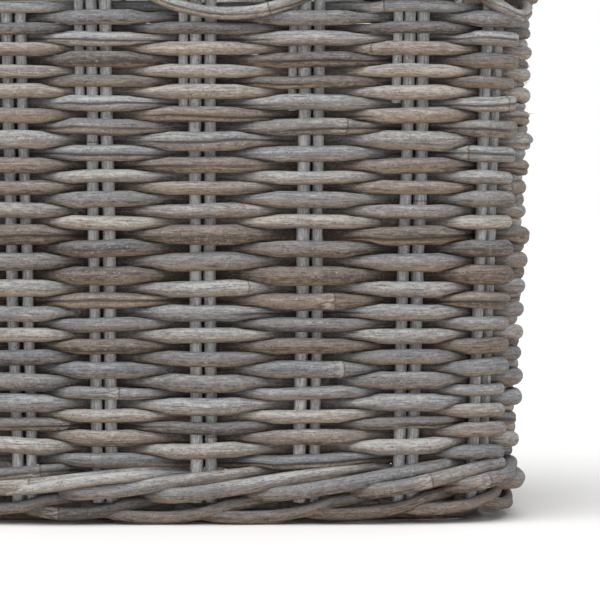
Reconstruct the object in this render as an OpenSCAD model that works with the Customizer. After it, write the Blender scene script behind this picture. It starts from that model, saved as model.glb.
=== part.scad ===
// Log basket of round cane: pairs of upright stakes on a rounded rectangle, rounds of weavers that
// pass in front of one pair and behind the next, a foot and a rim of thicker canes, and two handles.
// +Z is up, +X runs along the long wall, and the origin is under the middle of the basket.

/* [Basket] */
// Width between the end walls' stakes, at half the height
wall_w = 442; // [360:1:540]
// Depth between the long walls' stakes, at half the height
wall_d = 344; // [280:1:430]
// How squarely the plan turns its corners: a higher power is a tighter corner
corner_power = 8; // [4:1:10]
// Lean of the end walls, in degrees outwards from the upright
lean = 2; // [0:0.25:4]
// Pair spacings from the last pair of a wall to the corner pair, as a share of one spacing
corner_share = 0.755; // [0.5:0.005:0.9]

/* [Stakes] */
// Diameter of one upright stake
stake_dia = 8.6; // [6:0.1:10.5]
// Gap between the two stakes of a pair
stake_gap = 2; // [1:0.1:3]
// Diameter of the border ends that are pushed down beside the pairs
tail_dia = 7; // [5:0.1:8]
// How far those ends reach below the rim
tail_len = 104; // [60:1:160]

/* [Weave] */
// Thickness of a weaver, through the wall
weaver_t = 8.4; // [6:0.1:10.5]
// Height of a weaver
weaver_h = 8; // [6:0.1:10]
// Gap between one row and the next
row_gap = 0.42; // [0.3:0.01:1]
// Rounds of the weave, each one row in front of the even pairs and one in front of the odd pairs
rounds = 20; // [12:1:22]
// Clearance between a weaver and the stakes that it passes
stake_clear = 0.6; // [0.5:0.1:1]
// Half the length that a weaver lies flat in front of a pair
flat_half = 13; // [11:0.5:14]

/* [Foot and rim] */
// Height of the scalloped canes that the basket stands on
foot_h = 15.4; // [12:0.1:20]
// Thickness of those canes
foot_t = 14; // [11:0.5:16]
// Height of the rolled rim
rim_h = 26; // [20:0.5:32]
// Thickness of each of its two sides
rim_t = 13; // [10:0.5:15]
// Gap between the ends of neighbouring border canes
end_gap = 2; // [1:0.1:4]

/* [Base] */
// Width of the frame that the base is woven on
frame_t = 12; // [9:0.5:15]
// Height of that frame
frame_h = 12; // [9:0.5:14]
// Diameter of the base sticks
stick_dia = 8; // [6:0.1:10]
// Thickness of the base weavers
base_t = 5; // [4:0.1:6]
// Spacing of the base weavers
base_pitch = 10.5; // [9:0.1:13]

/* [Handles] */
// Diameter of a handle's bow
bow_dia = 14; // [11:0.5:17]
// Radius of the bow, to its middle
bow_r = 62; // [50:1:75]
// How far the bow's legs reach down inside the rim
leg_len = 66; // [40:1:90]
// Thickness of the cane wound round the bow
wrap_t = 1.8; // [1.4:0.1:2.5]
// Angle of the bow that is wound
wrap_angle = 120; // [80:1:150]

/* [Hidden] */
$fn = 32;
pairs_per_wall = 6;
pairs = 4 * pairs_per_wall;
half_pairs = pairs_per_wall / 2;
// How far each wall's pairs stray from even spacing, from its corner pair on: the work of a hand
strays = [[0, 11, -3, -3, 1, 1], [0, 2, -2, 1, 3, -1], [0, -4, 3, 1, -3, 2], [0, 1, -3, 2, -1, 2]];
wale_rods = 3;
wale_step = 3;
row_pitch = weaver_h + row_gap;
foot_wale_z = foot_h + row_gap;
weave_z = foot_wale_z + wale_rods * row_pitch;
rim_wale_z = weave_z + 2 * rounds * row_pitch;
rim_z = rim_wale_z + wale_rods * row_pitch;
basket_h = rim_z + rim_h;
mid_z = basket_h / 2;
bar_clear = 0.4;

stake_r = stake_dia / 2;
stake_off = (stake_dia + stake_gap) / 2;
tail_off = stake_off + stake_r + stake_clear + tail_dia / 2;
tail_flat = tail_off + tail_dia / 2 + stake_clear;
weave_off = stake_r + stake_clear + weaver_t / 2;
wall_in = weave_off + weaver_t / 2;
frame_in = wall_in + stake_clear + frame_t;
frame_z = 2;
base_swing = stick_dia / 2 + bar_clear + base_t / 2;
base_z = frame_z + base_swing + base_t / 2 + bar_clear;
stick_rows = 3;
stick_margin = 0.7;
stick_pitch = (wall_d / 2 - frame_in) / (stick_rows + stick_margin);
end_room = 1.5 * base_pitch;
handle_z = basket_h + 5;
leg_z = handle_z - leg_len;
wrap_in = bow_dia / 2 + bar_clear;

two_digits = function (i) str(i < 10 ? "0" : "", i);
STAKE_NODES = [for (k = [0 : pairs - 1]) str("stake_pair_", two_digits(k + 1))];
ROUND_NODES = [for (i = [0 : rounds - 1]) str("round_", two_digits(i + 1))];
FOOT_NODES = [for (i = [0 : wale_rods - 1]) str("foot_wale_", i + 1)];
RIM_NODES = [for (i = [0 : wale_rods - 1]) str("rim_wale_", i + 1)];

// The plan is a superellipse. On each wall u runs along it and v is how far out it is.
function bulge(u, run) = pow(1 - pow(min(abs(u) / run, 1), corner_power), 1 / corner_power);
corner_k = pow(2, -1 / corner_power);
function wall_run(q) = (q % 2 == 0 ? wall_w : wall_d) / 2;
function wall_out(q) = (q % 2 == 0 ? wall_d : wall_w) / 2;
function pair_u(q, j) = j == -half_pairs ? -corner_k * wall_run(q)
    : j * corner_k * wall_run(q) / (half_pairs - 1 + corner_share) + strays[q][j + half_pairs];
function pair_v(q, j) = wall_out(q) * bulge(pair_u(q, j), wall_run(q));
// Wall 0 is the front, and the walls follow anticlockwise as seen from above
function turned(q, u, v) = q == 0 ? [u, -v] : q == 1 ? [v, u] : q == 2 ? [-u, v] : [-v, -u];
function wall_of(k) = floor((k + half_pairs) / pairs_per_wall) % 4;
function place_of(k) = (k + half_pairs) % pairs_per_wall - half_pairs;
function is_corner(k) = place_of(k) == -half_pairs;
function has_tail(k) = !is_corner(k) && place_of(k) != 1 - half_pairs;
function pair_at(k) = turned(wall_of(k), pair_u(wall_of(k), place_of(k)),
    pair_v(wall_of(k), place_of(k)));
function slope_u(q, j) = sign(pair_u(q, j)) * pow(abs(pair_u(q, j)) / wall_run(q), corner_power - 1)
    / wall_run(q);
function slope_v(q, j) = pow(pair_v(q, j) / wall_out(q), corner_power - 1) / wall_out(q);
function unit(p) = p / norm(p);
function outward(k) = unit(turned(wall_of(k), slope_u(wall_of(k), place_of(k)),
    slope_v(wall_of(k), place_of(k))));
function along(k) = [-outward(k)[1], outward(k)[0]];
// The walls lean out, so every height has its own scale of the plan
function spread(z) = 1 + (z - mid_z) * tan(lean) / (wall_w / 2);
function at(k, z, a, o) = pair_at(k % pairs) * spread(z) + a * along(k % pairs)
    + o * outward(k % pairs);

// A weaver's side of each pair: 1 in front, -1 behind
function plain_side(k, phase) = (k + phase) % 2 == 0 ? 1 : -1;
function wale_side(k, phase) = (k + phase) % wale_step == 0 ? -1 : 1;
function left_flat(k) = has_tail(k) ? tail_flat : flat_half;

// One closed ring whose side of each pair is given, made of flats joined by straight crossings
module ring(sides, z, t) {
    outer = [for (k = [0 : pairs - 1], a = [-left_flat(k), flat_half])
        at(k, z + weaver_h / 2, a, sides[k] * weave_off + t / 2)];
    inner = [for (k = [0 : pairs - 1], a = [-left_flat(k), flat_half])
        at(k, z + weaver_h / 2, a, sides[k] * weave_off - t / 2)];
    n = len(outer);
    translate([0, 0, z])
        linear_extrude(weaver_h)
            polygon(concat(outer, inner), [[for (i = [0 : n - 1]) i], [for (i = [0 : n - 1]) n + i]]);
}

// A straight round rod between two points
module rod(p, q, d) {
    v = q - p;
    translate(p)
        rotate([0, acos(v[2] / norm(v)), atan2(v[1], v[0])])
            cylinder(h = norm(v), d = d);
}

// One upright beside the middle of a pair, which leans with the wall
module upright(k, a, z0, z1, d) {
    rod([each at(k, z0, a, 0), z0], [each at(k, z1, a, 0), z1], d);
}

module stake_pair(k) {
    color("#9c9a93")
        for (a = [-stake_off, stake_off])
            upright(k, a, foot_wale_z, rim_z - row_gap, stake_dia);
}

module round_of_weave(i) {
    z = weave_z + 2 * i * row_pitch;
    color("#8f877b") {
        ring([for (k = [0 : pairs - 1]) plain_side(k, 1)], z, weaver_t);
        ring([for (k = [0 : pairs - 1]) plain_side(k, 0)], z + row_pitch, weaver_t);
    }
}

module wale(i, z) {
    color("#86807a")
        ring([for (k = [0 : pairs - 1]) wale_side(k, i)], z + i * row_pitch, weaver_t);
}

// Canes laid end to end round the wall, each from one pair to the next
module border(z, h, o, t) {
    for (k = [0 : pairs - 1]) {
        corners = [at(k, z, end_gap / 2, o + t / 2), at(k, z, end_gap / 2, o - t / 2),
            at(k + 1, z, -end_gap / 2, o - t / 2), at(k + 1, z, -end_gap / 2, o + t / 2)];
        translate([0, 0, z])
            linear_extrude(h)
                polygon(corners);
    }
}

module foot_border() {
    color("#7f7b76")
        border(0, foot_h, foot_t / 2 - 1, foot_t);
}

module rim_border() {
    color("#8b857c")
        for (s = [-1, 1])
            border(rim_z, rim_h, s * (rim_t + end_gap) / 2, rim_t);
}

module border_tails() {
    color("#a09d95")
        for (k = [0 : pairs - 1])
            if (has_tail(k))
                upright(k, -tail_off, rim_z - tail_len, rim_z - row_gap, tail_dia);
}

// Half the length that a piece of width w has inside the frame, at the distance v from the middle
function inside_run(v, w, out, run) =
    (run - frame_in) * bulge(abs(v) + w / 2, out - frame_in) - end_gap;
base_run = wall_w / 2 * spread(0);
base_out = wall_d / 2 * spread(0);

module base_frame() {
    steps = 96;
    function edge(a, inset) = [
        (base_run - inset) * sign(cos(a)) * pow(abs(cos(a)), 2 / corner_power),
        (base_out - inset) * sign(sin(a)) * pow(abs(sin(a)), 2 / corner_power)];
    function loop(inset) = [for (i = [0 : steps - 1]) edge(360 * (i + 0.5) / steps, inset)];
    color("#7d7568")
        translate([0, 0, frame_z])
            linear_extrude(frame_h)
                difference() {
                    polygon(loop(wall_in + stake_clear));
                    polygon(loop(frame_in));
                }
}

module base_sticks() {
    color("#8d8676")
        for (j = [-stick_rows : stick_rows]) {
            y = j * stick_pitch;
            run = inside_run(y, stick_dia, base_out, base_run);
            rod([-run, y, base_z], [run, y, base_z], stick_dia);
        }
}

module base_weave() {
    rows = floor((base_run - frame_in - end_room) / base_pitch);
    strip_w = base_pitch - 1;
    lie = stick_dia / 2 + base_t / 2;
    color("#8a8170")
        for (i = [-rows : rows]) {
            x = i * base_pitch;
            free_run = inside_run(x, strip_w, base_run, base_out);
            reach = min(stick_rows, floor((free_run - lie) / stick_pitch));
            run = min(free_run, (reach + 1) * stick_pitch - lie - stake_clear);
            used = [for (j = [-reach : reach]) j];
            side = function (j) (j + i) % 2 == 0 ? 1 : -1;
            mids = concat([[-run, 0]],
                [for (j = used, e = [-lie, lie]) [j * stick_pitch + e, side(j) * base_swing]],
                [[run, 0]]);
            path = concat([for (m = mids) [m[0], m[1] + base_t / 2]],
                [for (n = [len(mids) - 1 : -1 : 0]) [mids[n][0], mids[n][1] - base_t / 2]]);
            translate([x - strip_w / 2, 0, base_z])
                rotate([90, 0, 90])
                    linear_extrude(strip_w)
                        polygon(path);
        }
}

// Where a handle stands: just inside the end wall, measured beside the foot of a leg
handle_x = wall_w / 2 * spread(leg_z) * bulge(bow_r + bow_dia / 2, wall_d / 2 * spread(leg_z))
    - wall_in - stake_clear - bow_dia / 2;

module on_each_end() {
    for (s = [0, 180])
        rotate([0, 0, s])
            translate([handle_x, 0, 0])
                children();
}

module handle_bows() {
    color("#8a8378")
        on_each_end() {
            for (s = [-1, 1])
                translate([0, s * bow_r, leg_z])
                    cylinder(h = leg_len, d = bow_dia);
            translate([0, 0, handle_z])
                rotate([90, 0, 90])
                    rotate_extrude(angle = 180)
                        translate([bow_r, 0])
                            circle(d = bow_dia);
        }
}

module handle_wraps() {
    color("#938b7e")
        on_each_end()
            translate([0, 0, handle_z])
                rotate([90, 0, 90])
                    rotate_extrude(start = 90 - wrap_angle / 2, angle = wrap_angle)
                        translate([bow_r, 0])
                            difference() {
                                circle(r = wrap_in + wrap_t);
                                circle(r = wrap_in);
                            }
}

for (k = [0 : pairs - 1])
    stake_pair(k);
for (i = [0 : rounds - 1])
    round_of_weave(i);
for (i = [0 : wale_rods - 1])
    wale(i, foot_wale_z);
for (i = [0 : wale_rods - 1])
    wale(i, rim_wale_z);
foot_border();
rim_border();
border_tails();
base_frame();
base_sticks();
base_weave();
handle_bows();
handle_wraps();
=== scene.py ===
import math

import bmesh
import bpy
import numpy as np
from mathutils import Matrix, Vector


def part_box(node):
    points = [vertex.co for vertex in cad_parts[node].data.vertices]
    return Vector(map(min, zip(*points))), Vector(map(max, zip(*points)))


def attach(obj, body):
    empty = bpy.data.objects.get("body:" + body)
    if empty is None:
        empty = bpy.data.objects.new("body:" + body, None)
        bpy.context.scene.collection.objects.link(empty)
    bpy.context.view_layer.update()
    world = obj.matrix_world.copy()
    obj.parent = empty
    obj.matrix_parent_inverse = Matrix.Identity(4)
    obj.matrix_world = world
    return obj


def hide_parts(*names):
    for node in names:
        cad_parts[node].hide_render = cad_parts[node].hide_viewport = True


bl_info = {
    "name": "Wicker Log Basket",
    "version": (1, 0, 0),
    "blender": (4, 5, 0),
    "location": "3D View > Sidebar > Basket",
    "description": "Weaves a log basket of round grey cane over paired stakes",
    "category": "Add Mesh",
}

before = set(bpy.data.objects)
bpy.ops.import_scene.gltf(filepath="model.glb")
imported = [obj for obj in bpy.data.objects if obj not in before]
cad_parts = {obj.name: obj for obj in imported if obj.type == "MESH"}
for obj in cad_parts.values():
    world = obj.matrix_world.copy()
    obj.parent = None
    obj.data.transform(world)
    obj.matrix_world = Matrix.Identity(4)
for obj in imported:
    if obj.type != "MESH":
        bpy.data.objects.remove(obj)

BODY = "root"
MM = 0.001
PAIRS = 24
WALL_PAIRS = 6
ROUNDS = 20
ROWS = 2 * ROUNDS
BASE_STICKS = 7
BASE_PITCH = 10.5 * MM
CORNER_POWER = 8
BASE_INSET = 12.5 * MM
BASE_END_GAP = 2.0 * MM
STAKE_GAP = 2.0 * MM
TAIL_GAP = 4.1 * MM
TAIL_RADIUS = 3.5 * MM
RIM_REACH = 14.0 * MM
BOW_RADIUS = 7.0 * MM
WRAP_TURNS = 23
WRAP_HALF = 0.95 * MM
LOOP_STEP = 3
SLIVERS = 70


# ---------------------------------------------------------------- sizes and colours

class BasketSizes(bpy.types.PropertyGroup):
    """Thicknesses of the canes, and how evenly they are laid"""

    weaver: bpy.props.FloatProperty(
        name="Weaver", description="Diameter of a weaving cane", default=11.3 * MM, unit="LENGTH")
    wale: bpy.props.FloatProperty(
        name="Wale", description="Diameter of the canes of the wales", default=11.0 * MM, unit="LENGTH")
    scallop: bpy.props.FloatProperty(
        name="Scallop", description="Diameter of the canes of the foot border", default=9.0 * MM,
        unit="LENGTH")
    rim: bpy.props.FloatProperty(
        name="Rim", description="Diameter of the canes of the rolled rim", default=10.6 * MM,
        unit="LENGTH")
    loop: bpy.props.FloatProperty(
        name="Loop", description="Diameter of the canes of the hanging loops", default=9.0 * MM,
        unit="LENGTH")
    uneven: bpy.props.FloatProperty(
        name="Unevenness", description="How much the canes' thickness varies", default=0.035,
        subtype="FACTOR")
    foot_lift: bpy.props.FloatProperty(
        name="Foot lift", description="How far the foot rises at the corners", default=9.0 * MM,
        unit="LENGTH")


class BasketBundle(bpy.types.PropertyGroup):
    """The mixed bundle that the weavers are picked from"""

    thickness: bpy.props.FloatProperty(
        name="Thickness spread", description="How much the rows differ in thickness", default=0.17,
        subtype="FACTOR")
    swell: bpy.props.FloatProperty(
        name="Swell", description="How much thicker the canes are half way up the wall", default=0.15,
        subtype="FACTOR")
    wash: bpy.props.FloatProperty(
        name="Wash", description="How thick the wash is, from bare to a full coat", default=0.46,
        subtype="FACTOR")
    wash_spread: bpy.props.FloatProperty(
        name="Wash spread", description="How much the rows differ in wash", default=0.26,
        subtype="FACTOR")
    warmth: bpy.props.FloatProperty(
        name="Warmth", description="How warm the cane is, from grey to brown", default=0.46,
        subtype="FACTOR")
    warmth_spread: bpy.props.FloatProperty(
        name="Warmth spread", description="How much the rows differ in warmth", default=0.50,
        subtype="FACTOR")
    creased: bpy.props.FloatProperty(
        name="Creased", description="Share of the canes that have creased along their faces",
        default=0.28, subtype="FACTOR")


class BasketColours(bpy.types.PropertyGroup):
    """The greys and browns of the weathered cane"""

    slate: bpy.props.FloatVectorProperty(
        name="Slate", description="Cool cane, dark with weather", default=(0.058, 0.058, 0.064),
        subtype="COLOR", size=3)
    grey: bpy.props.FloatVectorProperty(
        name="Grey", description="Cool cane under a thin wash", default=(0.186, 0.192, 0.200),
        subtype="COLOR", size=3)
    pale: bpy.props.FloatVectorProperty(
        name="Pale", description="Cool cane under a thick wash", default=(0.445, 0.455, 0.455),
        subtype="COLOR", size=3)
    umber: bpy.props.FloatVectorProperty(
        name="Umber", description="Warm cane, dark with weather", default=(0.062, 0.044, 0.034),
        subtype="COLOR", size=3)
    brown: bpy.props.FloatVectorProperty(
        name="Brown", description="Bare warm cane", default=(0.205, 0.157, 0.124),
        subtype="COLOR", size=3)
    cream: bpy.props.FloatVectorProperty(
        name="Cream", description="Warm cane under a thick wash", default=(0.470, 0.425, 0.360),
        subtype="COLOR", size=3)
    # Tan is also painted warm light on the undersides
    tan: bpy.props.FloatVectorProperty(
        name="Tan", description="Yellow cane where the wash has missed", default=(0.330, 0.225, 0.110),
        subtype="COLOR", size=3)


class BasketStage(bpy.types.PropertyGroup):
    """Where the camera stands, and the studio's light"""

    distance: bpy.props.FloatProperty(
        name="Distance", description="Camera to front wall", default=2.5, unit="LENGTH")
    eye: bpy.props.FloatProperty(
        name="Eye height", description="Height of the camera", default=0.232, unit="LENGTH")
    width: bpy.props.FloatProperty(
        name="View width", description="Width of the wall that the view takes in", default=0.432,
        unit="LENGTH")
    key: bpy.props.FloatProperty(
        name="Key light", description="Strength of the soft light from above", default=2.6)
    soft: bpy.props.FloatProperty(
        name="Softness", description="Width of the light from above", default=1.3, subtype="ANGLE")
    fill: bpy.props.FloatProperty(
        name="Fill light", description="Strength of the ceiling's light", default=0.5)


# ---------------------------------------------------------------- the plan of the basket

def smooth(x):
    """0 below 0, 1 above 1 and an even rise between."""
    x = np.clip(x, 0.0, 1.0)
    return x * x * (3.0 - 2.0 * x)


class Plan:
    """Where the stakes stand. u counts pairs anticlockwise from the middle of the front wall."""

    def __init__(self):
        boxes = [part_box(f"stake_pair_{k + 1:02d}") for k in range(PAIRS)]
        self.pairs = np.array([((lo + hi) / 2)[:2] for lo, hi in boxes])
        self.mid_z = (boxes[0][0].z + boxes[0][1].z) / 2
        low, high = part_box("round_01"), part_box(f"round_{ROUNDS}")
        climb = high[0].z - low[0].z
        self.lean = (high[1].x - low[1].x) / climb / self.pairs[WALL_PAIRS][0]
        self.weave_low = low[0].z
        self.weave_high = high[1].z
        self.stake_low = boxes[0][0].z
        self.stake_high = boxes[0][1].z

    def spread(self, z):
        """The size of the plan at height z, because the walls lean out."""
        return 1.0 + (z - self.mid_z) * self.lean

    def point(self, u, z, out, along=0.0):
        """Points on the wall at u and height z, pushed outwards and along the wall."""
        u = np.asarray(u, float)
        z = np.broadcast_to(z, u.shape)
        k = np.floor(u).astype(int)
        t = (u - k)[:, None]
        p = self.pairs
        p0, p1 = p[(k - 1) % PAIRS], p[k % PAIRS]
        p2, p3 = p[(k + 1) % PAIRS], p[(k + 2) % PAIRS]
        m1, m2 = (p2 - p0) / 2, (p3 - p1) / 2
        place = (2 * t**3 - 3 * t**2 + 1) * p1 + (t**3 - 2 * t**2 + t) * m1 \
            + (3 * t**2 - 2 * t**3) * p2 + (t**3 - t**2) * m2
        way = (6 * t**2 - 6 * t) * (p1 - p2) + (3 * t**2 - 4 * t + 1) * m1 + (3 * t**2 - 2 * t) * m2
        way /= np.linalg.norm(way, axis=1)[:, None]
        outward = np.stack([way[:, 1], -way[:, 0]], axis=1)
        place = place * self.spread(z)[:, None]
        place = place + outward * np.broadcast_to(out, u.shape)[:, None]
        place = place + way * np.broadcast_to(along, u.shape)[:, None]
        return np.column_stack([place, z])

    def outward(self, k):
        """The outward direction at pair k."""
        p = self.pairs
        way = p[(k + 1) % PAIRS] - p[(k - 1) % PAIRS]
        way = way / np.linalg.norm(way)
        return np.array([way[1], -way[0], 0.0])

    def lift(self, u, z, height):
        """How far a cane near the foot rises towards the corners."""
        off = np.abs((np.asarray(u) + WALL_PAIRS / 2) % WALL_PAIRS - WALL_PAIRS / 2) / (WALL_PAIRS / 2)
        return height * off**1.5 * (1.0 - smooth(z / 0.16))


plan = Plan()


def has_tail(k):
    """A border end stands beside each pair but the corner pairs and the pair after each."""
    place = (k + WALL_PAIRS // 2) % WALL_PAIRS
    return place > 1


# ---------------------------------------------------------------- canes

TUBES = {}


def tube(sides, rings):
    """A straight tube of unit radius with one ring of points at each whole height, and closed ends."""
    if (sides, rings) in TUBES:
        return TUBES[sides, rings]
    bm = bmesh.new()
    circle = bmesh.ops.create_circle(bm, cap_ends=False, segments=sides, radius=1.0)
    bmesh.ops.spin(bm, geom=circle["verts"] + bm.edges[:], cent=(0, 0, 0), axis=(0, 0, 1),
                   dvec=(0, 0, 1), angle=0.0, steps=rings - 1, use_duplicate=False)
    for height in (0, rings - 1):
        edge = [e for e in bm.edges if all(abs(v.co.z - height) < 0.5 for v in e.verts)]
        for shrink in (0.86, 0.5):
            grown = bmesh.ops.extrude_edge_only(bm, edges=edge)["geom"]
            ends = [g for g in grown if isinstance(g, bmesh.types.BMVert)]
            edge = [g for g in grown if isinstance(g, bmesh.types.BMEdge)]
            bmesh.ops.scale(bm, vec=(shrink, shrink, 1.0), verts=ends)
        bmesh.ops.edgeloop_fill(bm, edges=edge)
    bmesh.ops.recalc_face_normals(bm, faces=bm.faces[:])
    mesh = bpy.data.meshes.new("tube")
    bm.to_mesh(mesh)
    bm.free()
    co = np.empty(len(mesh.vertices) * 3)
    mesh.vertices.foreach_get("co", co)
    TUBES[sides, rings] = mesh, co.reshape(-1, 3)
    return TUBES[sides, rings]


def wander(rng, x, scale, reach):
    """A smooth random line over x, whose waves are about scale long."""
    line = np.zeros_like(x)
    for part, share in ((1.0, 0.6), (0.47, 0.3), (0.21, 0.15)):
        line += share * np.sin(2 * np.pi * (x / (scale * part) + rng.random()))
    return reach * line


class Canes:
    """Canes gathered into one object. Each is a tube that is bent along its own path."""

    def __init__(self, name):
        self.name = name
        self.bm = bmesh.new()
        self.co, self.strand, self.around, self.kind = [], [], [], []

    def lay(self, rng, path, up, high, wide, tone, hue=0.5, sides=14, joint_gap=0.26, ragged=0.035,
            crease=0.0):
        """A cane along path, with half-heights high along up and half-widths wide across it."""
        mesh, unit = tube(sides, len(path))
        self.bm.from_mesh(mesh)
        ring = np.rint(unit[:, 2]).astype(int)
        rho = np.hypot(unit[:, 0], unit[:, 1])
        angle = np.arctan2(unit[:, 1], unit[:, 0])
        way = np.gradient(path, axis=0)
        way /= np.linalg.norm(way, axis=1)[:, None]
        up = np.broadcast_to(np.asarray(up, float), path.shape)
        up = up - way * np.sum(up * way, axis=1)[:, None]
        up /= np.linalg.norm(up, axis=1)[:, None]
        side = np.cross(up, way)
        steps = np.linalg.norm(np.diff(path, axis=0), axis=1)
        length = np.concatenate([[0.0], np.cumsum(steps)])
        joint = self.joints(rng, length, joint_gap)
        knuckle = 1.0 + 0.05 * np.exp(-(joint / 0.0035)**2)
        s, j = length[ring], joint[ring]
        phase = rng.random(3) * 2 * np.pi
        rough = 1.0 + ragged * (0.5 * np.sin(2 * angle + phase[0] + s * 31.0)
                                + 0.35 * np.sin(3 * angle + phase[1] - s * 57.0)
                                + 0.3 * np.sin(angle + phase[2] + s * 90.0))
        # A crease runs along the outer face, and comes and goes
        centre = np.pi + 0.25 + wander(rng, length, 0.35, 0.35)
        depth = crease * smooth(0.65 + wander(rng, length, 0.30, 1.0))
        away = (angle - centre[ring] + np.pi) % (2 * np.pi) - np.pi
        groove = depth[ring] * np.exp(-(away / 0.30)**2)
        reach = rho * rough * knuckle[ring] * (1.0 - 0.30 * groove)
        high = np.broadcast_to(high, length.shape)[ring] * reach * np.sin(angle)
        wide = np.broadcast_to(wide, length.shape)[ring] * reach * np.cos(angle)
        self.co.append(path[ring] + side[ring] * wide[:, None] + up[ring] * high[:, None])
        cut = (rho < 0.95).astype(float)
        tones = np.broadcast_to(tone, length.shape)[ring]
        hues = np.broadcast_to(hue, length.shape)[ring]
        self.strand.append(np.column_stack([s, j, tones]))
        self.around.append(np.column_stack([np.cos(angle), np.sin(angle), cut]))
        self.kind.append(np.column_stack([np.full(len(s), rng.random()), hues, groove]))

    @staticmethod
    def joints(rng, length, gap):
        """Signed distance along the cane to its nearest joint."""
        at = [-rng.random() * gap]
        while at[-1] < length[-1]:
            at.append(at[-1] + gap * (0.55 + 0.9 * rng.random()))
        away = length[:, None] - np.array(at)[None, :]
        return away[np.arange(len(length)), np.argmin(np.abs(away), axis=1)]

    def finish(self, material, slot, *nodes):
        """Makes the object, which rides on the basket and stands for its CAD nodes."""
        mesh = bpy.data.meshes.new(self.name)
        self.bm.to_mesh(mesh)
        self.bm.free()
        mesh.vertices.foreach_set("co", np.concatenate(self.co).ravel())
        for name, rows in (("strand", self.strand), ("around", self.around), ("kind", self.kind)):
            mesh.attributes.new(name, "FLOAT_VECTOR", "POINT").data.foreach_set(
                "vector", np.concatenate(rows).ravel())
        mesh.polygons.foreach_set("use_smooth", [True] * len(mesh.polygons))
        mesh.update()
        mesh.materials.append(material)
        piece = bpy.data.objects.new(self.name, mesh)
        bpy.context.scene.collection.objects.link(piece)
        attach(piece, BODY)
        if nodes:
            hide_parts(*nodes)
        return piece


# ---------------------------------------------------------------- materials

class Socket:
    """A shader value that can be used in a Python expression."""

    def __init__(self, tree, link):
        self.tree = tree
        self.link = link

    def __add__(self, other):
        return self.tree.math("ADD", self, other)

    __radd__ = __add__

    def __sub__(self, other):
        return self.tree.math("SUBTRACT", self, other)

    def __rsub__(self, other):
        return self.tree.math("SUBTRACT", other, self)

    def __mul__(self, other):
        return self.tree.math("MULTIPLY", self, other)

    __rmul__ = __mul__

    def size(self):
        return self.tree.math("ABSOLUTE", self)

    def held(self):
        """Held between 0 and 1."""
        return self.tree.math("MULTIPLY_ADD", self, 1.0, 0.0, True)

    def rise(self, low, high, start=0.0, end=1.0):
        """start below low, end above high, and an even rise between."""
        return self.tree.add("ShaderNodeMapRange", {"interpolation_type": "SMOOTHSTEP"}, 0, **{
            "Value": self, "From Min": low, "From Max": high, "To Min": start, "To Max": end})


class Shading:
    """A node tree, and the nodes that the finishes are made of."""

    def __init__(self, tree):
        self.nodes = tree.nodes
        self.links = tree.links
        self.nodes.clear()

    def put(self, socket, value):
        if isinstance(value, Socket):
            self.links.new(value.link, socket)
        else:
            socket.default_value = value

    def add(self, kind, settings=(), out=0, **values):
        node = self.nodes.new(kind)
        for name, value in dict(settings).items():
            setattr(node, name, value)
        for name, value in values.items():
            self.put(node.inputs[name], value)
        return Socket(self, node.outputs[out])

    def math(self, operation, *values):
        node = self.nodes.new("ShaderNodeMath")
        node.operation = operation
        if values and isinstance(values[-1], bool):
            node.use_clamp = values[-1]
            values = values[:-1]
        for socket, value in zip(node.inputs, values):
            self.put(socket, value)
        return Socket(self, node.outputs[0])

    def mix(self, share, first, second, blend="MIX"):
        """A colour between first and second."""
        node = self.nodes.new("ShaderNodeMix")
        node.data_type = "RGBA"
        node.blend_type = blend
        self.put(node.inputs[0], share)
        for socket, value in ((node.inputs[6], first), (node.inputs[7], second)):
            self.put(socket, value if isinstance(value, Socket) else (*value[:3], 1.0))
        return Socket(self, node.outputs[2])

    def parts(self, vector):
        """The three parts of a vector."""
        split = self.nodes.new("ShaderNodeSeparateXYZ")
        self.put(split.inputs[0], vector)
        return [Socket(self, out) for out in split.outputs]

    def attribute(self, name):
        return self.parts(self.add("ShaderNodeAttribute", {"attribute_name": name}, 1))

    def vector(self, x, y, z):
        return self.add("ShaderNodeCombineXYZ", X=x, Y=y, Z=z)

    def noise(self, vector, scale, detail=3.0, roughness=0.55):
        return self.add("ShaderNodeTexNoise", {"noise_dimensions": "3D"}, 0, Vector=vector, Scale=scale,
                        Detail=detail, Roughness=roughness)


def new_material(name):
    material = bpy.data.materials.new(name)
    material.use_nodes = True
    return material


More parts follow.
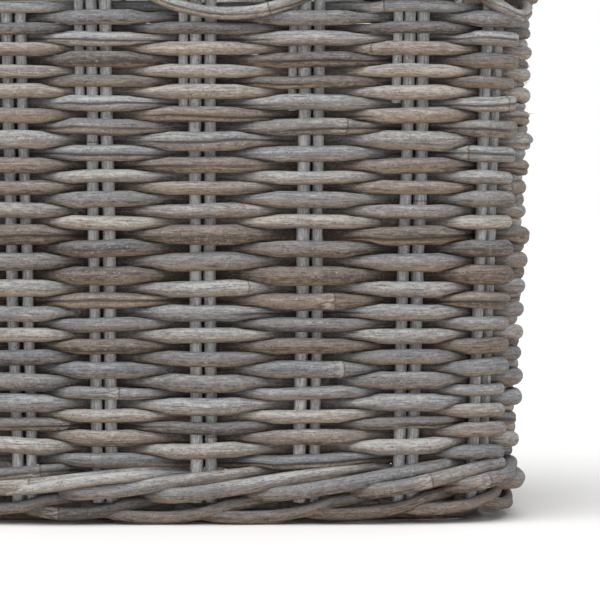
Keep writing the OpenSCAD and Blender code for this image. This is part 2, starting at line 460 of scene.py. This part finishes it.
def cane_finish(name, wash=0.0, warmth=0.0, shade=1.0):
    """Weathered cane: long grain, a mottled wash, joints, creases, specks and pithy cut ends, with painted
    light on the faces towards up and painted shade on the faces turned away and in the creases.
    """
    c = bpy.context.scene.basket_colours
    material = new_material(name)
    m = Shading(material.node_tree)
    along, joint, tone = m.attribute("strand")
    across, upper, cut = m.attribute("around")
    lot, hue, groove = m.attribute("kind")

    def grain(stretch, scale, detail, roughness, shift):
        """Noise that is drawn out along the cane, and differs from cane to cane."""
        place = m.vector(along * stretch + lot * shift, across, upper)
        return m.noise(place, scale, detail, roughness)

    patch = grain(9.0, 0.95, 2.0, 0.5, 37.0)
    crack = grain(5.0, 9.0, 3.0, 0.55, 143.0)
    mottle = grain(62.0, 3.0, 5.0, 0.68, 391.0)
    streak = grain(7.0, 5.5, 4.0, 0.62, 57.0)
    fibre = grain(3.2, 15.0, 3.0, 0.6, 23.0)
    speck = grain(120.0, 5.0, 3.0, 0.6, 517.0)
    # The wash runs from bare dark cane, at 0, to a thick pale coat, at 1
    # Painted light from above: upper * 0.21 makes the face towards up paler and the face turned away
    # darker. The face towards up is a weaver's top and a stake's outer face.
    level = tone + (patch - 0.5) * 0.60 + (mottle - 0.5) * 1.20 + (streak - 0.5) * 0.80 + upper * 0.21
    level = level + wash
    # Painted light as well: - upper * 0.46 makes the face towards up cooler and the face turned away warmer
    warm = (hue + (patch - 0.5) * 0.5 + (streak - 0.5) * 0.7 - upper * 0.46 + warmth).held()
    low, high = level.rise(-0.05, 0.50), level.rise(0.42, 1.05)
    cool = m.mix(high, m.mix(low, c.slate, c.grey), c.pale)
    bare = m.mix(high, m.mix(low, c.umber, c.brown), c.cream)
    colour = m.mix(warm, cool, bare)
    # Tan patches on the underside: partly bare cane where the wash has missed, partly painted warm light
    under = (upper * -1.0).rise(0.05, 0.95) * (patch + mottle).rise(0.86, 1.10)
    colour = m.mix(under * 0.42, colour, c.tan)
    # Lengthwise fibres, darker between them
    dim = m.mix(1.0, colour, (0.30, 0.28, 0.27), "MULTIPLY")
    colour = m.mix(fibre.rise(0.35, 0.43, 0.52, 0.0), colour, dim)
    colour = m.mix(fibre.rise(0.56, 0.76, 0.0, 0.30), colour, c.pale)
    colour = m.mix(crack.rise(0.635, 0.66, 0.0, 0.75), colour, c.umber)
    # Dark pores and pale scuffs
    colour = m.mix(speck.rise(0.60, 0.65, 0.0, 0.72), colour, c.umber)
    colour = m.mix(speck.rise(0.32, 0.37, 0.50, 0.0), colour, c.pale)
    # A joint is a dark line, and the wash beside it is worn into pale flecks
    wave = joint + (streak - 0.5) * 0.0016
    line = wave.size().rise(0.0002, 0.0009, 1.0, 0.0)
    beside = wave.rise(-0.015, -0.004) * wave.rise(-0.0002, 0.0004, 1.0, 0.0)
    colour = m.mix(beside * mottle.rise(0.44, 0.56) * 0.45, colour, c.cream)
    colour = m.mix(line * 0.62, colour, c.umber)
    # Painted shade darkens the bottom of each crease
    colour = m.mix(groove.rise(0.35, 0.95) * 0.80, colour, (0.035, 0.028, 0.024))
    # Cut ends show pale pith with open pores
    pores = m.noise(m.vector(across * 9.0, upper * 9.0, lot * 50.0), 3.0, 2.0, 0.6)
    colour = m.mix(cut, colour, m.mix(pores.rise(0.4, 0.6), (0.16, 0.12, 0.08), (0.46, 0.38, 0.27)))
    if shade != 1.0:
        colour = m.mix(1.0, colour, (shade, shade, shade), "MULTIPLY")
    height = fibre * 0.45 + mottle * 0.35 + speck * -0.20 - line * 0.5
    height = height - crack.rise(0.62, 0.66) * 0.5 + pores * cut
    bump = m.add("ShaderNodeBump", Height=height, Strength=0.6, Distance=0.0012)
    surface(m, colour, 0.52 + (1.0 - fibre) * 0.30, bump, 0.30)
    return material


def surface(m, colour, roughness, normal, specular):
    """The shader itself."""
    shader = m.nodes.new("ShaderNodeBsdfPrincipled")
    m.put(shader.inputs["Base Color"], colour)
    m.put(shader.inputs["Roughness"], roughness)
    if normal:
        m.put(shader.inputs["Normal"], normal)
    shader.inputs["Specular IOR Level"].default_value = specular
    out = m.nodes.new("ShaderNodeOutputMaterial")
    m.links.new(shader.outputs[0], out.inputs[0])


FINISHES = {
    "weaver": dict(),
    "stake": dict(wash=-0.06, warmth=0.04, shade=1.5),
    "wale": dict(),
    "border": dict(wash=-0.04),
    "base": dict(shade=0.9),
    "handle": dict(),
}
MADE = {}


def finish_of(kind):
    if kind not in MADE:
        MADE[kind] = cane_finish(f"{kind}_cane", **FINISHES[kind])
    return MADE[kind]


# ---------------------------------------------------------------- pieces

def stake_offset():
    """Half the distance between the middles of a pair's two stakes, and a stake's radius."""
    lo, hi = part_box("stake_pair_01")
    radius = ((hi - lo).x - STAKE_GAP) / 4
    return radius + STAKE_GAP / 2, radius


def make_stakes():
    off, radius = stake_offset()
    rings = 72
    for k in range(PAIRS):
        rng = np.random.default_rng(100 + k)
        canes = Canes(f"paired_stakes_{k + 1:02d}")
        for side in (-1, 1):
            z = np.linspace(plan.stake_low, plan.stake_high, rings)
            back = 1.8 * MM if side > 0 and k % WALL_PAIRS in (1, 2, 3) else 0.0
            push = wander(rng, z, 0.21, 0.4 * MM) - back
            along = side * off + wander(rng, z, 0.33, 0.6 * MM)
            path = plan.point(np.full(rings, float(k)), z, push, along)
            thick = radius * (1.0 + 0.05 * rng.standard_normal()) + wander(rng, z, 0.12, 0.12 * MM)
            canes.lay(rng, path, plan.outward(k), thick, thick, 0.56 + 0.12 * rng.random(),
                      0.22 + 0.2 * rng.random(), joint_gap=0.23)
        canes.finish(finish_of("stake"), "stake_cane", f"stake_pair_{k + 1:02d}")


class Rows:
    """The rows of the weave from the foot upwards, each a cane picked from a mixed bundle."""

    def __init__(self):
        rng = np.random.default_rng(7)
        sizes = bpy.context.scene.basket_sizes
        bundle = bpy.context.scene.basket_bundle

        def picked(spread):
            return spread * rng.uniform(-1.0, 1.0, ROWS)

        # A thick cane takes more height than a thin one
        swell = bundle.swell * np.sin(np.pi * (np.arange(ROWS) + 0.5) / ROWS)
        room = 1.0 + swell + picked(bundle.thickness)
        self.room = room * (plan.weave_high - plan.weave_low) / room.sum()
        share = self.room / self.room.mean()
        self.thick = sizes.weaver * share * (1.0 + sizes.uneven * rng.standard_normal(ROWS))
        self.middle = plan.weave_low + np.cumsum(self.room) - self.room / 2
        self.tone = bundle.wash + picked(bundle.wash_spread)
        self.hue = bundle.warmth + picked(bundle.warmth_spread)
        self.creased = rng.random(ROWS) < bundle.creased


def row_sides(row, u):
    """1 where a weaver is in front of the wall's middle, -1 where it is behind."""
    turn = np.cos(np.pi * (u + (row + 1) % 2))
    if row == ROWS - 1:
        away = np.abs((u + WALL_PAIRS / 2) % WALL_PAIRS - WALL_PAIRS / 2)
        turn = np.where(away < 1.0, -1.0, turn)
    return turn * (1.32 - 0.32 * turn**2)


def weave_cane(canes, row, rows):
    """One row: a cane that goes once round the basket and laps past its own start, inside."""
    rng = np.random.default_rng(1000 + row)
    radius = stake_offset()[1]
    sizes = bpy.context.scene.basket_sizes
    lap = 0.22
    start = 2 * int(rng.integers(0, PAIRS // 2)) + (row % 2)
    start = start if row_sides(row, np.array([float(start)]))[0] < 0 else start + 1
    u = np.linspace(start - lap, start + PAIRS + lap, 610)
    side = row_sides(row, u)
    d = rows.thick[row]
    out = side * (radius + d / 2 + 0.15 * MM) + wander(rng, u, 5.0, 0.45 * MM)
    out -= d * (1.0 - smooth((u - u[0]) / (2.4 * lap)))
    middle = rows.middle
    below = middle[row] - middle[row - 1] if row else rows.room[0]
    above = middle[row + 1] - middle[row] if row < ROWS - 1 else rows.room[-1]
    crossing = 1.0 - np.clip(np.abs(side) * 1.45, 0.0, 1.0)**2
    low, high = np.minimum(below / 2, d / 2), np.minimum(above / 2, d / 2)
    half = d / 2 * (1.0 - crossing) + (low + high) / 2 * 0.985 * crossing
    z = middle[row] + (high - low) / 2 * crossing
    z = z + wander(rng, u, 2.7, 1.0 * MM) * (1.0 - crossing)
    z = z + plan.lift(u, z, sizes.foot_lift)
    # Painted shade: the cane is darker where it goes behind the stakes
    tone = rows.tone[row] + wander(rng, u, 9.0, 0.05) - 0.30 * smooth(-side - 0.05)
    hue = rows.hue[row] + wander(rng, u, 7.0, 0.10)
    wide = d / 2 * (1.0 + wander(rng, u, 1.7, 0.03))
    creased = bool(rows.creased[row])
    canes.lay(rng, plan.point(u, z, out), (0, 0, 1), half * (1.0 + wander(rng, u, 2.3, 0.05)), wide, tone,
              hue, sides=26 if creased else 14, joint_gap=0.75, ragged=0.05, crease=float(creased))


def make_weave():
    rows = Rows()
    for number in range(ROUNDS):
        canes = Canes(f"woven_round_{number + 1:02d}")
        for row in (2 * number, 2 * number + 1):
            weave_cane(canes, row, rows)
        canes.finish(finish_of("weaver"), "weaver_cane", f"round_{number + 1:02d}")
    make_splinters(rows)


def make_splinters(rows):
    """Fine slivers that stand off the weavers."""
    canes = Canes("loose_slivers")
    radius = stake_offset()[1]
    for i in range(SLIVERS):
        rng = np.random.default_rng(2000 + i)
        row = int(rng.integers(1, ROWS - 2))
        k = 2 * int(rng.integers(0, PAIRS // 2)) + (row + 1) % 2
        p = np.linspace(0.0, 1.0, 14)
        u = k + 0.7 * (rng.random() - 0.5) + p * (0.10 + 0.12 * rng.random()) * rng.choice((-1.0, 1.0))
        z = rows.middle[row] + 0.4 * rows.thick[row] * (rng.random() - 0.2)
        z = z + p**2 * 6.0 * MM * (rng.random() - 0.4)
        z = z + plan.lift(u, z, bpy.context.scene.basket_sizes.foot_lift)
        out = radius + rows.thick[row] * 0.93 + 3.0 * MM * p**2
        half = 0.32 * MM * (1.05 - p)
        canes.lay(rng, plan.point(u, z, out), (0, 0, 1), half, half, 0.8, 0.9, sides=5)
    canes.finish(finish_of("weaver"), "weaver_cane")


def wale_path(rod, u, low, high, reach):
    """A wale rod starts over the rod before it, climbs past two pairs and drops behind the third."""
    p = (u - rod) % 3.0
    front = smooth((p - 0.22) / 0.56) * (1.0 - smooth((p - 2.22) / 0.56))
    climb = smooth((p - 0.35) / 2.3)
    drop = np.where(p > 2.62, 1.0 - smooth((p - 2.62) / 0.76), 1.0)
    early = np.where(p < 0.38, 1.0 - smooth((p + 0.38) / 0.76), 0.0)
    share = np.maximum(climb * drop, early)
    over = smooth((p - 0.35) / 0.4) * (1.0 - smooth((p - 1.05) / 0.85))
    return (2.0 * front - 1.0) * reach + 6.5 * MM * over, low + (high - low) * share


def make_wale(name, rods, low, high, nodes, seed, lift):
    radius = stake_offset()[1]
    d = bpy.context.scene.basket_sizes.wale
    for rod in range(rods):
        rng = np.random.default_rng(seed + rod)
        canes = Canes(f"{name}_{rod + 1}")
        start = 3 * int(rng.integers(1, 8)) + rod
        u = np.linspace(start - 0.2, start + PAIRS + 0.2, 520)
        out, z = wale_path(rod, u, low, high, radius + d / 2)
        out = out - d * (1.0 - smooth((u - u[0]) / 0.5))
        z = z + wander(rng, u, 4.3, 0.6 * MM)
        z = z + plan.lift(u, z, lift)
        tone = 0.42 + 0.1 * rng.standard_normal() + wander(rng, u, 5.0, 0.16)
        hue = 0.45 + wander(rng, u, 6.0, 0.3)
        half = d / 2 * (1.0 + wander(rng, u, 3.3, 0.07))
        canes.lay(rng, plan.point(u, z, out), (0, 0, 1), half, half, tone, hue, sides=20, joint_gap=0.45,
                  ragged=0.05, crease=0.5 * rod)
        if lift and rod == 0:
            lay_wale_end(canes, low, high, radius + d, lift)
        canes.finish(finish_of("wale"), "wale_cane", nodes[rod])


def lay_wale_end(canes, low, high, out, lift):
    """The last end of the wale lies over the others, and its cut shows."""
    rng = np.random.default_rng(350)
    start, length = 21.84, 2.05
    p = np.linspace(0.0, 1.0, 80)
    u = start + length * p
    z = low - 1.5 * MM + 1.05 * (high - low) * np.sin(0.53 * np.pi * p)
    z = z + plan.lift(u, z, lift)
    out = out + 3.5 * MM + 3.0 * MM * smooth(p / 0.25) - 26.0 * MM * smooth((p - 0.60) / 0.40)
    half = 4.1 * MM * (1.0 + wander(rng, p, 0.8, 0.05)) * (0.62 + 0.38 * smooth(p / 0.22))
    half = half * (1.0 - 0.5 * smooth((p - 0.7) / 0.3))
    canes.lay(rng, plan.point(u, z, out), (0, 0, 1), half, half, 0.72, 0.35, joint_gap=2.0)


def make_foot():
    sizes = bpy.context.scene.basket_sizes
    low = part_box("foot_wale_1")[0].z
    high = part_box("foot_wale_3")[1].z
    d = sizes.wale
    make_wale("foot_wale_rod", 3, low + d / 2 - 0.8 * MM, high - d / 2 + 1.6 * MM,
              [f"foot_wale_{i}" for i in (1, 2, 3)], 300, sizes.foot_lift)
    canes = Canes("foot_scallops")
    d = sizes.scallop
    for k in range(PAIRS):
        rng = np.random.default_rng(400 + k)
        p = np.linspace(-0.28, 2.15, 74)
        z = d / 2 + 0.4 * MM + 12.0 * MM * np.minimum(np.abs(p - 0.45), 0.8)**2 \
            + 7.0 * MM * smooth((p - 0.95) / 1.2)
        out = -9.0 * MM + 17.5 * MM * smooth((p + 0.28) / 0.45) - 19.0 * MM * smooth((p - 1.05) / 1.0)
        half = d / 2 * (1.0 + wander(rng, p, 1.6, 0.06)) * (1.0 - 0.30 * smooth((p - 1.2) / 0.9))
        z = z + plan.lift(p + k, z, sizes.foot_lift)
        tone = 0.30 + 0.12 * rng.standard_normal()
        canes.lay(rng, plan.point(p + k, z, out), (0, 0, 1), half, half, tone, 0.45 + 0.5 * rng.random(),
                  sides=18, joint_gap=0.5, ragged=0.05)
    canes.finish(finish_of("border"), "border_cane", "foot_border")


def make_rim():
    sizes = bpy.context.scene.basket_sizes
    low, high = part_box("rim_wale_1")[0].z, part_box("rim_wale_3")[1].z
    d = sizes.wale
    make_wale("rim_wale_rod", 3, low + d / 2 + 3.0 * MM, high - d / 2 + 0.5 * MM,
              [f"rim_wale_{i}" for i in (1, 2, 3)], 500, 0.0)
    # Creased loops hang below the rim in front of every third pair
    canes = Canes("rim_loops")
    for k in range(0, PAIRS, LOOP_STEP):
        rng = np.random.default_rng(600 + k)
        half_width = 0.38 if k % WALL_PAIRS else 0.57
        p = np.linspace(-1.5, 1.5, 60)
        place = k + 0.24 + p * half_width
        front = 1.0 - smooth((np.abs(p) - 0.7) / 0.8)
        half = sizes.loop / 2 * (1.0 + wander(rng, p, 1.0, 0.04))
        z = low - 9.2 * MM + 9.0 * MM * p**2
        canes.lay(rng, plan.point(place, z, 14.0 * MM * front), (0, 0, 1), half, half, 0.66, 0.45, sides=26,
                  joint_gap=0.3, crease=0.9)
    canes.finish(finish_of("weaver"), "wale_cane")
    # The rolled border: each pair's two stakes come up inside, over the top and down the outside
    box_low, box_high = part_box("rim_border")
    d = sizes.rim
    tall = (box_high.z - box_low.z) / 2 - d / 2
    deep = RIM_REACH - d / 2
    canes = Canes("rolled_rim")
    for k in range(2 * PAIRS):
        rng = np.random.default_rng(700 + k)
        p = np.linspace(0.0, 2.9, 96)
        turn = np.radians(200.0 - 190.0 * smooth(p / 2.2) - 55.0 * smooth((p - 1.9) / 1.0))
        z = (box_high.z + box_low.z) / 2 + tall * np.sin(turn) - 7.0 * MM * smooth((p - 2.3) / 0.6)
        out = deep * np.cos(turn) - 6.0 * MM * smooth((p - 2.45) / 0.45)
        half = d / 2 * (1.0 + wander(rng, p, 1.9, 0.04)) * (1.0 - 0.2 * smooth((p - 2.3) / 0.6))
        tone = 0.42 + 0.13 * rng.standard_normal()
        canes.lay(rng, plan.point(p + k / 2, z, out), (0, 0, 1), half, half, tone,
                  0.2 + 0.6 * rng.random(), joint_gap=0.4)
    canes.finish(finish_of("border"), "border_cane", "rim_border")


def make_tails():
    off, radius = stake_offset()
    lo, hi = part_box("border_tails")
    canes = Canes("border_ends")
    rings = 30
    for k in range(PAIRS):
        if not has_tail(k):
            continue
        rng = np.random.default_rng(800 + k)
        z = np.linspace(lo.z + 6.0 * MM * rng.random(), hi.z, rings)
        along = -(off + radius + TAIL_GAP) + wander(rng, z, 0.2, 0.4 * MM)
        path = plan.point(np.full(rings, float(k)), z, -0.4 * MM, along)
        half = TAIL_RADIUS * (1.0 + 0.06 * rng.standard_normal())
        canes.lay(rng, path, plan.outward(k), half, half, 0.62 + 0.1 * rng.random(), 0.3, joint_gap=0.3)
    canes.finish(finish_of("stake"), "stake_cane", "border_tails")


def base_reach(across, half, run, out):
    """Half the length inside the base frame, for a cane that lies at a distance from the middle."""
    share = min((abs(across) + half) / (out - BASE_INSET), 1.0)
    bulge = (1.0 - share**CORNER_POWER)**(1.0 / CORNER_POWER)
    return (run - BASE_INSET) * bulge - BASE_END_GAP


def make_base():
    frame_low, frame_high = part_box("base_frame")
    half = (frame_high.z - frame_low.z) / 2
    wall = plan.pairs[WALL_PAIRS][0] * plan.spread(0.0)
    canes = Canes("base_frame_cane")
    u = np.linspace(8.9, 33.1, 300)
    path = plan.point(u, frame_low.z + half, frame_high.x - half - wall + 1.0 * MM)
    thick = 1.12 * half
    canes.lay(np.random.default_rng(900), path, (0, 0, 1), thick, thick, 0.36, 0.6)
    canes.finish(finish_of("base"), "base_cane", "base_frame")
    low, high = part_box("base_sticks")
    stick, middle = (high.z - low.z) / 2, (high.z + low.z) / 2
    rows = np.linspace(low.y + stick, high.y - stick, BASE_STICKS)
    canes = Canes("base_stick_canes")
    for i, y in enumerate(rows):
        rng = np.random.default_rng(910 + i)
        run = base_reach(y, stick, frame_high.x, frame_high.y)
        x = np.linspace(-run, run, 90)
        path = np.column_stack([x, y + wander(rng, x, 0.2, 0.5 * MM), np.full(90, middle)])
        canes.lay(rng, path, (0, 0, 1), stick, stick, 0.38, 0.6)
    canes.finish(finish_of("base"), "base_cane", "base_sticks")
    make_base_weave(rows[1] - rows[0], stick, middle, frame_high)


def make_base_weave(gap, stick, middle, frame_high):
    half = BASE_PITCH / 2
    reach = frame_high.x - 18.0 * MM
    count = int(2 * reach / BASE_PITCH)
    canes = Canes("base_weavers")
    for i, x in enumerate(np.linspace(-reach, reach, count)):
        rng = np.random.default_rng(950 + i)
        run = base_reach(x, half, frame_high.y, frame_high.x)
        y = np.linspace(-run, run, 120)
        turn = np.cos(np.pi * (y / gap + i))
        lie = turn * (1.5 - 0.5 * turn**2) * (stick + 2.6 * MM)
        path = np.column_stack([x + wander(rng, y, 0.2, 0.3 * MM), y, middle + lie])
        canes.lay(rng, path, (0, 0, 1), 2.9 * MM, half * 0.97, 0.40 + 0.12 * rng.standard_normal(),
                  0.3 + 0.6 * rng.random(), joint_gap=0.5)
    canes.finish(finish_of("base"), "base_weaver", "base_weave")


def handle_path(side, rings):
    """Up one leg, over the bow and down the other leg."""
    lo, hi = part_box("handle_bows")
    bow = (hi.y - lo.y) / 2 - BOW_RADIUS
    spring = hi.z - BOW_RADIUS - bow
    x = side * (hi.x - BOW_RADIUS)
    leg = spring - lo.z
    total = 2 * leg + math.pi * bow
    s = np.linspace(0.0, total, rings)
    turn = np.clip((s - leg) / bow, 0.0, math.pi)
    y = -side * bow * np.cos(turn)
    z = spring + bow * np.sin(turn)
    z = np.where(s < leg, lo.z + s, z)
    z = np.where(s > total - leg, lo.z + total - s, z)
    return np.column_stack([np.full(rings, x), y, z]), s, leg, total


def make_handles():
    canes = Canes("handle_canes")
    for side in (-1, 1):
        rng = np.random.default_rng(1200 + side)
        path, s, *_ = handle_path(side, 150)
        half = BOW_RADIUS * (1.0 + wander(rng, s, 0.15, 0.02))
        canes.lay(rng, path, (1, 0, 0), half, half, 0.4, 0.6, sides=16)
    canes.finish(finish_of("handle"), "handle_cane", "handle_bows")
    canes = Canes("handle_windings")
    for side in (-1, 1):
        rng = np.random.default_rng(1300 + side)
        rings = WRAP_TURNS * 18
        path, s, leg, total = handle_path(side, rings)
        arc = total - 2 * leg
        start, end = leg + arc * 0.16, leg + arc * 0.84
        s_wrap = np.linspace(start, end, rings)
        middle = np.column_stack([np.interp(s_wrap, s, path[:, i]) for i in range(3)])
        way = np.gradient(middle, axis=0)
        way /= np.linalg.norm(way, axis=1)[:, None]
        flat = np.tile([1.0, 0.0, 0.0], (rings, 1))
        across = np.cross(way, flat)
        angle = np.linspace(0.0, 2 * np.pi * WRAP_TURNS, rings)[:, None]
        spoke = flat * np.cos(angle) + across * np.sin(angle)
        path = middle + spoke * (BOW_RADIUS + 0.9 * MM)
        pitch = (end - start) / WRAP_TURNS
        canes.lay(rng, path, spoke, WRAP_HALF, pitch / 2 * 0.98, 0.55, 0.5, sides=8, joint_gap=0.5)
    canes.finish(finish_of("weaver"), "handle_wrap", "handle_wraps")


# ---------------------------------------------------------------- stage

def make_floor():
    bm = bmesh.new()
    bmesh.ops.create_grid(bm, x_segments=1, y_segments=1, size=60.0)
    mesh = bpy.data.meshes.new("studio_floor")
    bm.to_mesh(mesh)
    bm.free()
    material = new_material("white_floor")
    surface(Shading(material.node_tree), (0.93, 0.93, 0.93, 1.0), 0.9, None, 0.2)
    mesh.materials.append(material)
    floor = bpy.data.objects.new("studio_floor", mesh)
    bpy.context.scene.collection.objects.link(floor)


def make_world(fill):
    """White walls all round, under a dimmer ceiling."""
    world = bpy.data.worlds.new("studio")
    world.use_nodes = True
    w = Shading(world.node_tree)
    height = w.parts(w.add("ShaderNodeTexCoord"))[2]
    strength = height.rise(0.20, 0.42, 1.0, fill)
    background = w.add("ShaderNodeBackground", Color=(1.0, 1.0, 1.0, 1.0), Strength=strength)
    out = w.nodes.new("ShaderNodeOutputWorld")
    w.links.new(background.link, out.inputs[0])
    bpy.context.scene.world = world


def make_stage():
    stage = bpy.context.scene.basket_stage
    scene = bpy.context.scene
    make_floor()
    make_world(stage.fill)
    light = bpy.data.lights.new("overhead", "SUN")
    light.energy = stage.key
    light.angle = stage.soft
    light.color = (1.0, 0.995, 0.985)
    lamp = bpy.data.objects.new("overhead", light)
    lamp.rotation_euler = Vector((-0.22, -0.70, 1.0)).to_track_quat("Z", "Y").to_euler()
    scene.collection.objects.link(lamp)
    scene.view_settings.view_transform = "Standard"
    scene.view_settings.look = "None"
    wall_y = plan.pairs[0][1] - 0.012
    aim = Vector((0.067, wall_y, 0.163))
    camera = bpy.data.cameras.new("camera")
    camera.sensor_width = 36.0
    camera.lens = camera.sensor_width / stage.width * stage.distance
    eye = bpy.data.objects.new("camera", camera)
    eye.location = (0.03, wall_y - stage.distance, stage.eye)
    eye.rotation_euler = (aim - eye.location).to_track_quat("-Z", "Y").to_euler()
    scene.collection.objects.link(eye)
    scene.camera = eye


# ---------------------------------------------------------------- operators

class BASKET_OT_stakes(bpy.types.Operator):
    """Stand the pairs of stakes on the plan"""
    bl_idname = "basket.stakes"
    bl_label = "Stakes"

    def execute(self, context):
        make_stakes()
        return {"FINISHED"}


class BASKET_OT_weave(bpy.types.Operator):
    """Weave the rounds in front of one pair and behind the next"""
    bl_idname = "basket.weave"
    bl_label = "Weave"

    def execute(self, context):
        make_weave()
        return {"FINISHED"}


class BASKET_OT_foot(bpy.types.Operator):
    """Lay the foot's wale and its scalloped border"""
    bl_idname = "basket.foot"
    bl_label = "Foot"

    def execute(self, context):
        make_foot()
        return {"FINISHED"}


class BASKET_OT_rim(bpy.types.Operator):
    """Lay the rim's wale, its hanging loops and its rolled border"""
    bl_idname = "basket.rim"
    bl_label = "Rim"

    def execute(self, context):
        make_rim()
        make_tails()
        return {"FINISHED"}


class BASKET_OT_base(bpy.types.Operator):
    """Weave the base on its sticks and frame"""
    bl_idname = "basket.base"
    bl_label = "Base"

    def execute(self, context):
        make_base()
        return {"FINISHED"}


class BASKET_OT_handles(bpy.types.Operator):
    """Bend the handles and wind them with split cane"""
    bl_idname = "basket.handles"
    bl_label = "Handles"

    def execute(self, context):
        make_handles()
        return {"FINISHED"}


class BASKET_OT_stage(bpy.types.Operator):
    """Set the floor, the lights and the camera"""
    bl_idname = "basket.stage"
    bl_label = "Stage"

    def execute(self, context):
        make_stage()
        return {"FINISHED"}


class BASKET_PT_panel(bpy.types.Panel):
    """Lists the basket's pieces"""
    bl_idname = "BASKET_PT_panel"
    bl_label = "Log Basket"
    bl_space_type = "VIEW_3D"
    bl_region_type = "UI"
    bl_category = "Basket"

    def draw(self, context):
        for operator in OPERATORS:
            self.layout.operator(operator.bl_idname)
        for pointer, group in GROUPS.items():
            for name in group.__annotations__:
                self.layout.prop(getattr(context.scene, pointer), name)


OPERATORS = (BASKET_OT_stakes, BASKET_OT_weave, BASKET_OT_foot, BASKET_OT_rim, BASKET_OT_base,
             BASKET_OT_handles, BASKET_OT_stage)
GROUPS = {
    "basket_sizes": BasketSizes,
    "basket_bundle": BasketBundle,
    "basket_colours": BasketColours,
    "basket_stage": BasketStage,
}


def register():
    for group in GROUPS.values():
        bpy.utils.register_class(group)
    for name, group in GROUPS.items():
        setattr(bpy.types.Scene, name, bpy.props.PointerProperty(type=group))
    for operator in OPERATORS:
        bpy.utils.register_class(operator)
    bpy.utils.register_class(BASKET_PT_panel)


def unregister():
    bpy.utils.unregister_class(BASKET_PT_panel)
    for operator in reversed(OPERATORS):
        bpy.utils.unregister_class(operator)
    for name, group in GROUPS.items():
        delattr(bpy.types.Scene, name)
        bpy.utils.unregister_class(group)


def main():
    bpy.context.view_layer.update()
    register()
    bpy.ops.basket.stage()
    bpy.ops.basket.stakes()
    bpy.ops.basket.weave()
    bpy.ops.basket.foot()
    bpy.ops.basket.rim()
    bpy.ops.basket.base()
    bpy.ops.basket.handles()


if __name__ == "__main__":
    main()
